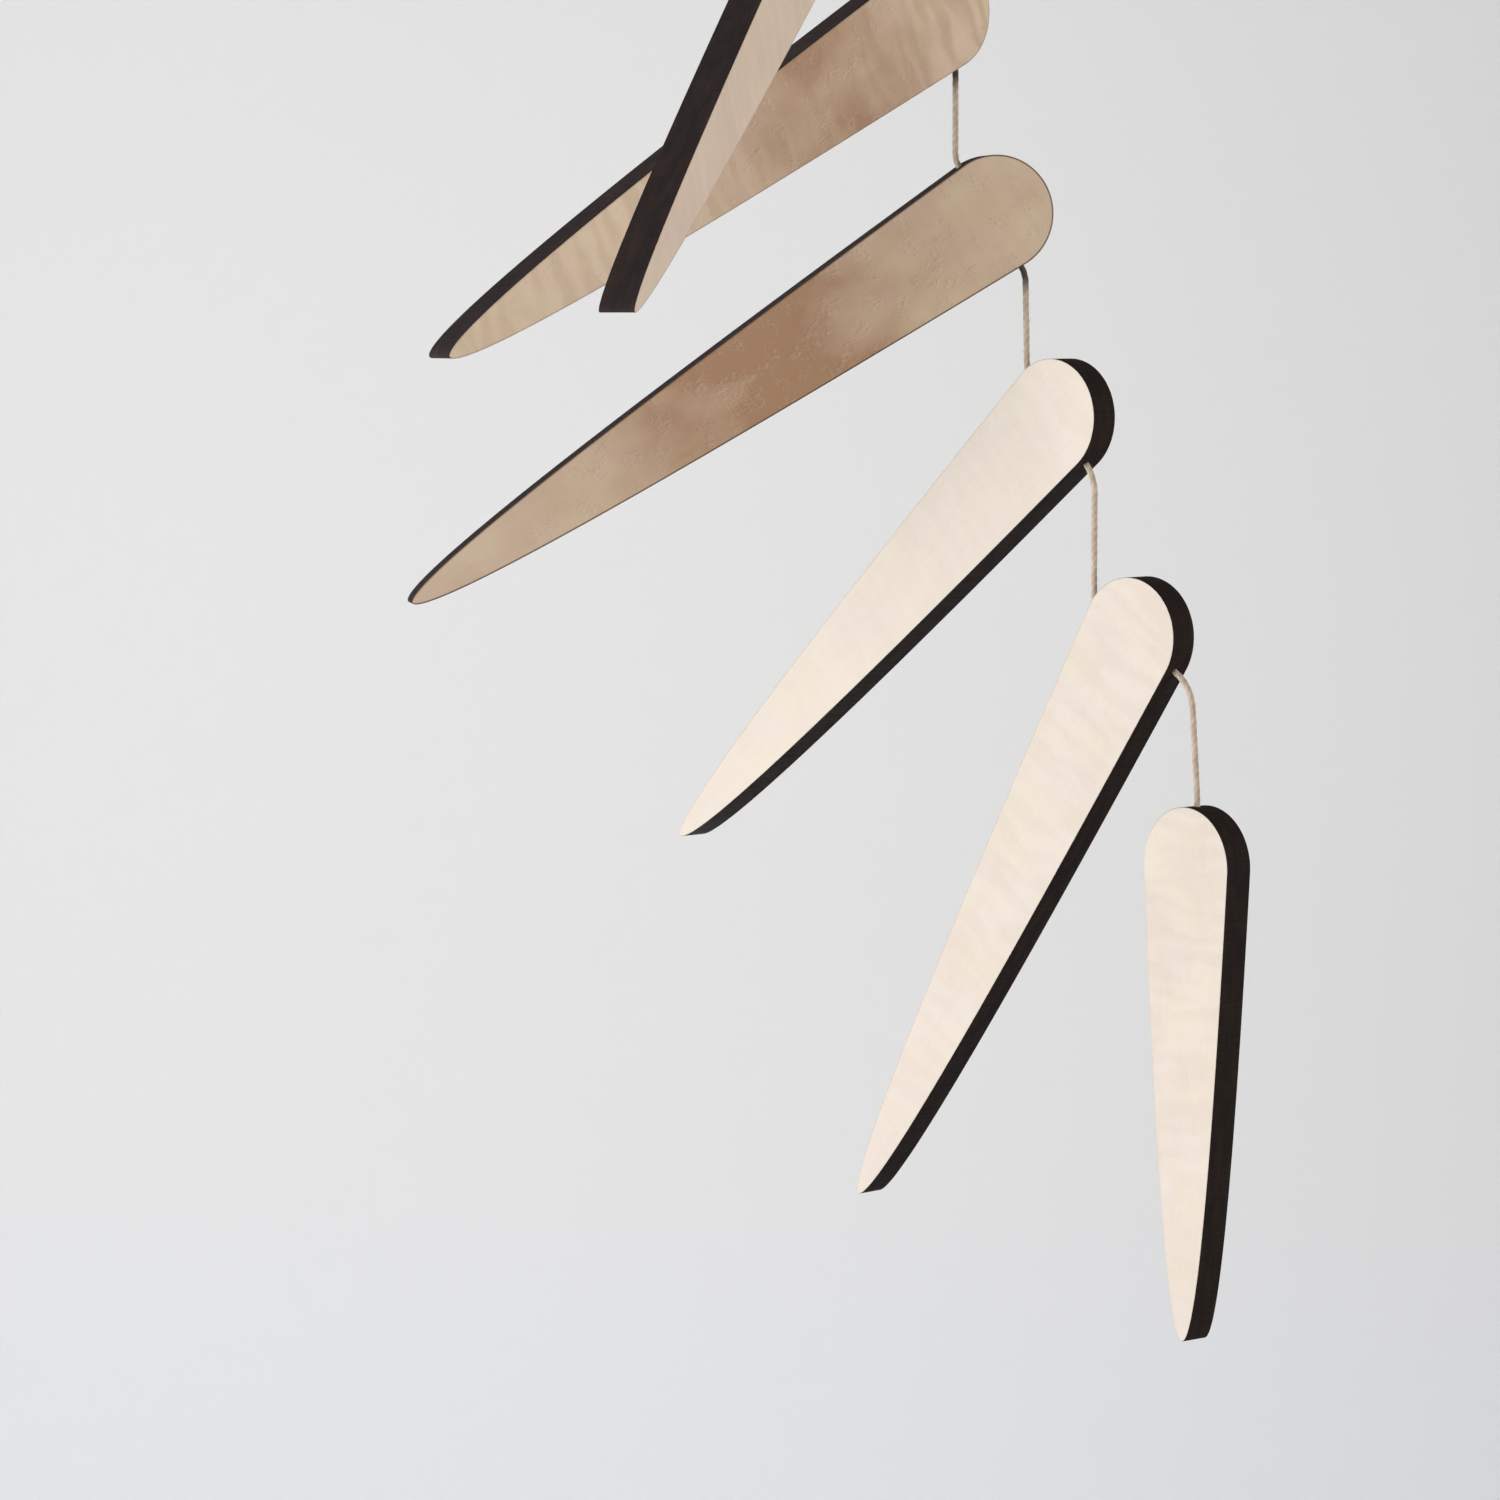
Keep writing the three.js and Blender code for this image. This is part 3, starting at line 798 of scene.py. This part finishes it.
def streaks_group():
    """Long streaks drawn out along one axis, as grain, fibres or saw marks are."""
    tree, given, result = new_tree(
        "Streaks",
        "ShaderNodeTree",
        [
            ("Vector", "NodeSocketVector", None),
            ("Fineness", "NodeSocketVector", (1, 1, 1)),
            ("Low", "NodeSocketFloat", 0.4),
            ("High", "NodeSocketFloat", 0.6),
            ("Detail", "NodeSocketFloat", 3.0),
        ],
        [("Mask", "NodeSocketFloat")],
    )
    scaled = vectors(tree, "MULTIPLY", given["Vector"], given["Fineness"])
    noise = node(tree, "ShaderNodeTexNoise", {
        "Vector": scaled, "Scale": 1, "Detail": given["Detail"], "Roughness": 0.6,
    })
    mask = node(tree, "ShaderNodeMapRange", {
        "Value": noise.outputs["Fac"], "From Min": given["Low"], "From Max": given["High"],
    })
    tree.links.new(mask.outputs[0], result["Mask"])
    return tree


def streaks(tree, group, vector, fineness, low=0.4, high=0.6, detail=3.0):
    made = node(tree, "ShaderNodeGroup", node_tree=group)
    for name, value in (("Vector", vector), ("Fineness", fineness), ("Low", low), ("High", high),
                        ("Detail", detail)):
        put(tree, made.inputs[name], value)
    return made.outputs["Mask"]


def mixed(tree, factor, a, b, blend="MIX"):
    """Mixes two colours."""
    made = tree.nodes.new("ShaderNodeMix")
    made.data_type = "RGBA"
    made.blend_type = blend
    put(tree, made.inputs[0], factor)
    for socket, value in ((made.inputs[6], a), (made.inputs[7], b)):
        put(tree, socket, (*value, 1) if isinstance(value, tuple) else value)
    return made.outputs[2]


def ranged(tree, value, low, high, to_low=0.0, to_high=1.0):
    return node(tree, "ShaderNodeMapRange", {
        "Value": value, "From Min": low, "From Max": high, "To Min": to_low, "To Max": to_high,
    }).outputs[0]


def attribute(tree, name):
    return node(tree, "ShaderNodeAttribute", attribute_name=name)


def bumped(tree, shader, relief, strength, distance):
    """Gives a shader fine relief."""
    bump = node(tree, "ShaderNodeBump", {"Height": relief, "Strength": strength, "Distance": distance})
    tree.links.new(bump.outputs[0], shader.inputs["Normal"])


# The veneer's colours, from its pale wood to its singed rim.
VENEER_PALE = (0.80, 0.705, 0.60)
VENEER_BROWN = (0.42, 0.265, 0.18)
BAND_SHADE = (0.78, 0.73, 0.67)
VENEER_GOLD = (1.06, 1.0, 0.86)
YELLOWER = (1.0, 1.0, 0.965)
PINKER = (1.0, 0.985, 0.995)
GRAIN_BROWN = (0.52, 0.36, 0.235)
PORE_BROWN = (0.40, 0.26, 0.16)
DARK_FLECK = (0.30, 0.19, 0.125)
LIGHT_FLECK = (0.86, 0.72, 0.56)
SINGED = (0.10, 0.055, 0.035)

# How fine its patterns are along, through and across the grain, in waves per metre.
BAND_FINENESS = (330, 20, 52)
RIPPLE_FINENESS = (620, 60, 150)
CLOUD_FINENESS = (58, 40, 90)
GRAIN_FINENESS = (90, 900, 1300)
PORE_FINENESS = (420, 4000, 5200)
FLECK_FINENESS = (600, 300, 950)

# How far its patterns wander, how much they show, and where the singed rim ends.
CURL_WANDER = (7 * MM, 0, 6 * MM)
BAND_SHARE = 0.85
RIPPLE_SHARE = 0.15
CLOUD_SHARE = 0.05
GRAIN_SHARE = 0.06
PORE_SHARE = 0.1
SINGED_SHARE = 0.85
FLECK_WIDTH = 0.04
FLECK_SHIFT = (0.4 * MM, 0, 0.4 * MM)
SINGED_FULLY = 0.2 * MM
SINGED_NO_MORE = 0.42 * MM


def squiggles(tree, place):
    """Short wandering lines, as the flecks of curly maple are, in scattered patches."""
    noise = node(tree, "ShaderNodeTexNoise", {
        "Vector": vectors(tree, "MULTIPLY", place, FLECK_FINENESS), "Scale": 1, "Detail": 1,
    })
    off_line = maths(tree, "ABSOLUTE", maths(tree, "SUBTRACT", noise.outputs["Fac"], 0.5))
    line = ranged(tree, off_line, FLECK_WIDTH, 0)
    patches = node(tree, "ShaderNodeTexNoise", {
        "Vector": vectors(tree, "ADD", place, (0.3, 0.1, 0.2)), "Scale": 230, "Detail": 1,
    })
    return maths(tree, "MULTIPLY", line, ranged(tree, patches.outputs["Fac"], 0.47, 0.6))


def veneer_material(streak_group):
    """Curly maple, with its grain along the blade."""
    material, tree, shader = new_material("curly maple veneer")
    place = attribute(tree, "sheet_place").outputs["Vector"]
    curl = attribute(tree, "curl").outputs["Fac"]
    gold = attribute(tree, "gold").outputs["Fac"]
    brown = attribute(tree, "brown").outputs["Fac"]
    scorch = attribute(tree, "scorch").outputs["Fac"]
    gap = attribute(tree, "rim_gap").outputs["Fac"]

    # The curl crosses the grain in soft bands that wander.
    wander = node(tree, "ShaderNodeTexNoise", {"Vector": place, "Scale": 95, "Detail": 2})
    shift = vectors(tree, "SUBTRACT", wander.outputs["Color"], (0.5, 0.5, 0.5))
    shift = vectors(tree, "MULTIPLY", shift, CURL_WANDER)
    bent = vectors(tree, "ADD", place, shift)
    bands = streaks(tree, streak_group, bent, BAND_FINENESS, 0.42, 0.6, 0.3)
    bands = maths(tree, "MULTIPLY", bands, BAND_SHARE)
    ripples = streaks(tree, streak_group, bent, RIPPLE_FINENESS, 0.42, 0.7, 1.0)
    ripples = maths(tree, "MULTIPLY", ripples, RIPPLE_SHARE)
    banded = maths(tree, "MULTIPLY", maths(tree, "ADD", bands, ripples), curl)

    # Clouds of brown drift across the grain, some yellower and some pinker: heartwood brown, and on some
    # blades the painted shade of their darker patch.
    clouds = node(tree, "ShaderNodeTexNoise", {
        "Vector": vectors(tree, "MULTIPLY", bent, CLOUD_FINENESS),
        "Scale": 1, "Detail": 4, "Roughness": 0.5,
    })
    cloudy = ranged(tree, clouds.outputs["Fac"], 0.34, 0.66)
    hues = node(tree, "ShaderNodeTexNoise", {
        "Vector": vectors(tree, "ADD", bent, (0.2, 0.4, 0.1)), "Scale": 85, "Detail": 1,
    })
    grain = streaks(tree, streak_group, place, GRAIN_FINENESS, 0.42, 0.72)
    pores = streaks(tree, streak_group, place, PORE_FINENESS, 0.62, 0.74)
    dark_flecks = squiggles(tree, bent)
    light_flecks = squiggles(tree, vectors(tree, "ADD", bent, FLECK_SHIFT))

    tint = maths(tree, "MULTIPLY", brown, ranged(tree, cloudy, 0, 1, 0.8, 1.2))
    tint = maths(tree, "ADD", tint, maths(tree, "MULTIPLY", cloudy, CLOUD_SHARE))
    colour = mixed(tree, tint, VENEER_PALE, VENEER_BROWN)
    hue = ranged(tree, hues.outputs["Fac"], 0.4, 0.6)
    colour = mixed(tree, 1.0, colour, mixed(tree, hue, YELLOWER, PINKER), "MULTIPLY")
    colour = mixed(tree, gold, colour, mixed(tree, 1.0, colour, VENEER_GOLD, "MULTIPLY"))
    colour = mixed(tree, banded, colour, mixed(tree, 1.0, colour, BAND_SHADE, "MULTIPLY"))
    colour = mixed(tree, maths(tree, "MULTIPLY", grain, GRAIN_SHARE), colour, GRAIN_BROWN)
    colour = mixed(tree, maths(tree, "MULTIPLY", pores, PORE_SHARE), colour, PORE_BROWN)
    flecked = maths(tree, "MULTIPLY", dark_flecks, ranged(tree, brown, 0, 0.5, 0.04, 0.3))
    colour = mixed(tree, flecked, colour, DARK_FLECK)
    flecked = maths(tree, "MULTIPLY", light_flecks, ranged(tree, brown, 0, 0.5, 0.03, 0.2))
    colour = mixed(tree, flecked, colour, LIGHT_FLECK)
    singed = maths(tree, "MULTIPLY", ranged(tree, gap, SINGED_FULLY, SINGED_NO_MORE, 1, 0), scorch)
    colour = mixed(tree, maths(tree, "MULTIPLY", singed, SINGED_SHARE), colour, SINGED)
    tree.links.new(colour, shader.inputs["Base Color"])
    tree.links.new(ranged(tree, banded, 0, 1, 0.5, 0.62), shader.inputs["Roughness"])
    shader.inputs["Specular IOR Level"].default_value = 0.3

    # The grain, pores and flecks are felt as well as seen.
    relief = maths(tree, "MULTIPLY", grain, -0.4)
    for pattern, depth in ((pores, -0.8), (dark_flecks, -0.4), (light_flecks, 0.4)):
        relief = maths(tree, "ADD", relief, maths(tree, "MULTIPLY", pattern, depth))
    bumped(tree, shader, relief, 0.3, 0.05 * MM)
    return material


# The burnt edge's colours and the painted light that brightens them, how fine its beam marks and soot are,
# how much the marks and plies show, and the sheet's plies.
CHAR = (0.021, 0.0165, 0.0155)
CHAR_BROWN = (0.032, 0.0225, 0.0185)
BEAM_MARK = (0.013, 0.0105, 0.0105)
PLY_LINE = (0.040, 0.026, 0.018)
PAINTED_EDGE_LIGHT = (2.05, 2.0, 2.1)
MARK_FINENESS = (2600, 160, 2600)
SOOT_FINENESS = (120, 500, 120)
MARK_SHARE = 0.25
PLY_SHARE = 0.18
PLY_THICKNESS = 1.3 * MM


def edge_material(streak_group):
    """The sheet's laser-burnt edge: near black, with its plies and the beam's marks just showing."""
    material, tree, shader = new_material("burnt plywood edge")
    place = attribute(tree, "sheet_place").outputs["Vector"]
    edge_light = attribute(tree, "edge_light").outputs["Fac"]
    marks = streaks(tree, streak_group, place, MARK_FINENESS, 0.4, 0.7)
    soot = streaks(tree, streak_group, place, SOOT_FINENESS, 0.42, 0.7)
    depth = node(tree, "ShaderNodeSeparateXYZ", {"Vector": place}).outputs["Y"]
    turns = maths(tree, "MULTIPLY", depth, math.pi / PLY_THICKNESS)
    plies = ranged(tree, maths(tree, "ABSOLUTE", maths(tree, "SINE", turns)), 0.0, 0.35, 1, 0)
    colour = mixed(tree, soot, CHAR, CHAR_BROWN)
    colour = mixed(tree, maths(tree, "MULTIPLY", marks, MARK_SHARE), colour, BEAM_MARK)
    colour = mixed(tree, maths(tree, "MULTIPLY", plies, PLY_SHARE), colour, PLY_LINE)
    # Painted light brightens the burnt edges of the top three blades, as if lit from the upper left.
    colour = mixed(tree, edge_light, colour, mixed(tree, 1.0, colour, PAINTED_EDGE_LIGHT, "MULTIPLY"))
    tree.links.new(colour, shader.inputs["Base Color"])
    tree.links.new(ranged(tree, marks, 0, 1, 0.7, 0.9), shader.inputs["Roughness"])
    shader.inputs["Specular IOR Level"].default_value = 0.05
    mark_relief = maths(tree, "MULTIPLY", marks, -1)
    relief = maths(tree, "ADD", mark_relief, maths(tree, "MULTIPLY", plies, -0.6))
    bumped(tree, shader, relief, 0.5, 0.06 * MM)
    return material


# The twine's colours, how fine its fibres and tones are along and across it, and how much its fibres,
# the painted shade in its grooves, and the painted shade and soot below a blade show.
TWINE_PALE = (0.76, 0.64, 0.50)
TWINE_DARK = (0.54, 0.43, 0.325)
FIBRE_BROWN = (0.36, 0.265, 0.18)
GROOVE_SHADE = (0.25, 0.175, 0.11)
TWINE_SHADE_AND_SOOT = (0.045, 0.036, 0.026)
FIBRE_FINENESS = (700, 6000, 6000)
TONE_FINENESS = (260, 300, 300)
FIBRE_SHARE = 0.35
GROOVE_SHADE_SHARE = 0.4
SHADE_AND_SOOT_SHARE = 0.92


def twine_material(streak_group):
    """Thin natural twine: beige fibres, with painted shade darkening the grooves between the strands."""
    material, tree, shader = new_material("natural twine")
    place = attribute(tree, "twine_place").outputs["Vector"]
    groove = attribute(tree, "groove").outputs["Fac"]
    soot = attribute(tree, "soot").outputs["Fac"]
    fibres = streaks(tree, streak_group, place, FIBRE_FINENESS, 0.35, 0.68)
    tone = streaks(tree, streak_group, place, TONE_FINENESS, 0.35, 0.7)
    colour = mixed(tree, tone, TWINE_PALE, TWINE_DARK)
    colour = mixed(tree, maths(tree, "MULTIPLY", fibres, FIBRE_SHARE), colour, FIBRE_BROWN)
    # Painted shade darkens the grooves between the strands.
    painted_groove_shade = maths(tree, "MULTIPLY", maths(tree, "POWER", groove, 2), GROOVE_SHADE_SHARE)
    colour = mixed(tree, painted_groove_shade, colour, GROOVE_SHADE)
    # Painted shade under the top three blades, with soot from their burnt holes, darkens the twine just
    # below them.
    colour = mixed(tree, maths(tree, "MULTIPLY", soot, SHADE_AND_SOOT_SHARE), colour, TWINE_SHADE_AND_SOOT)
    tree.links.new(colour, shader.inputs["Base Color"])
    tree.links.new(ranged(tree, fibres, 0, 1, 0.8, 0.95), shader.inputs["Roughness"])
    shader.inputs["Sheen Weight"].default_value = 0.15
    shader.inputs["Sheen Roughness"].default_value = 0.5
    bumped(tree, shader, fibres, 0.6, 0.06 * MM)
    return material


# The studio: a pale paper sweep, a little cooler at its foot, where painted light also makes it paler.
FLOOR_Z = -2.2
FLOOR_FRONT_Y = -6.0
WALL_Y = 4.0
WALL_TOP_Z = 3.5
SWEEP_RADIUS = 0.8
SWEEP_STEPS = 16
SWEEP_HALF_WIDTH = 7.0
PAPER_LOW = (0.785, 0.78, 0.77)
PAPER_HIGH = (0.80, 0.795, 0.785)
PAPER_FOOT_WITH_PAINTED_LIGHT = (0.80, 0.81, 0.825)
FOOT_FROM_Z = -0.8
FOOT_TO_Z = -1.5


def stage_material():
    material, tree, shader = new_material("pale paper sweep")
    place = node(tree, "ShaderNodeTexCoord").outputs["Object"]
    noise = node(tree, "ShaderNodeTexNoise", {"Vector": place, "Scale": 0.8, "Detail": 2})
    height = node(tree, "ShaderNodeSeparateXYZ", {"Vector": place}).outputs["Z"]
    # Painted light makes the paper a little paler towards the foot of the sweep, where it is also a little
    # cooler.
    foot = ranged(tree, height, FOOT_FROM_Z, FOOT_TO_Z)
    colour = mixed(tree, noise.outputs["Fac"], PAPER_LOW, PAPER_HIGH)
    colour = mixed(tree, foot, colour, PAPER_FOOT_WITH_PAINTED_LIGHT)
    tree.links.new(colour, shader.inputs["Base Color"])
    shader.inputs["Roughness"].default_value = 0.9
    shader.inputs["Specular IOR Level"].default_value = 0.1
    return material


def make_stage():
    """A pale floor far below that sweeps up into a wall behind."""
    profile = [(FLOOR_FRONT_Y, FLOOR_Z), (WALL_Y - SWEEP_RADIUS, FLOOR_Z)]
    for i in range(1, SWEEP_STEPS + 1):
        angle = math.pi / 2 * i / SWEEP_STEPS
        profile.append((WALL_Y - SWEEP_RADIUS + SWEEP_RADIUS * math.sin(angle),
                        FLOOR_Z + SWEEP_RADIUS * (1 - math.cos(angle))))
    profile.append((WALL_Y, WALL_TOP_Z))
    sides = (-SWEEP_HALF_WIDTH, SWEEP_HALF_WIDTH)
    vertices = [(x, y, z) for y, z in profile for x in sides]
    faces = [(2 * i, 2 * i + 1, 2 * i + 3, 2 * i + 2) for i in range(len(profile) - 1)]
    sweep = new_piece("paper_sweep")
    sweep.data.from_pydata(vertices, [], faces)
    sweep.data.materials.append(stage_material())
    sweep.data.shade_smooth()


def make_light(name, place, aim, size, power, colour):
    data = bpy.data.lights.new(name, "AREA")
    data.shape = "RECTANGLE"
    data.size, data.size_y = size
    data.energy = power
    data.color = colour
    light = bpy.data.objects.new(name, data)
    light.location = place
    light.rotation_euler = (Vector(aim) - Vector(place)).to_track_quat("-Z", "Y").to_euler()
    light.visible_camera = False
    bpy.context.scene.collection.objects.link(light)


# The sky's colour and strength, a place near the middle of the mobile at which most lights aim, and
# the lights: each one's name, place, aim, size across and up, watts and colour.
SKY = (0.81, 0.82, 0.84)
SKY_STRENGTH = 0.18
MIDDLE = (-0.02, -0.05, -0.25)
WHITE = (1.0, 1.0, 1.0)
LIGHTS = [
    ("window", (-2.5, -1.3, -0.35), MIDDLE, (2.4, 2.6), 99, (0.96, 0.98, 1.02)),
    ("reflector", (1.9, -0.6, 0.2), MIDDLE, (1.4, 1.6), 29, (1.0, 0.90, 0.82)),
    ("back_fill", (-0.2, 2.4, -1.1), MIDDLE, (1.8, 1.2), 30, WHITE),
    ("wall_wash", (-0.8, 0.8, -0.2), (-0.25, WALL_Y, -0.4), (2.5, 1.8), 54, WHITE),
]


def make_lights():
    world = bpy.data.worlds.new("studio")
    world.use_nodes = True
    background = world.node_tree.nodes["Background"]
    background.inputs["Color"].default_value = (*SKY, 1)
    background.inputs["Strength"].default_value = SKY_STRENGTH
    bpy.context.scene.world = world
    for light in LIGHTS:
        make_light(*light)


make_camera()
streak_group = streaks_group()
make_cord(twine_material(streak_group))
blade_shape = blade_tree()
veneer = veneer_material(streak_group)
edge = edge_material(streak_group)
for blade in HUNG:
    make_blade(blade, blade_shape, veneer, edge)
make_stage()
make_lights()
bpy.context.scene.view_settings.view_transform = "Standard"
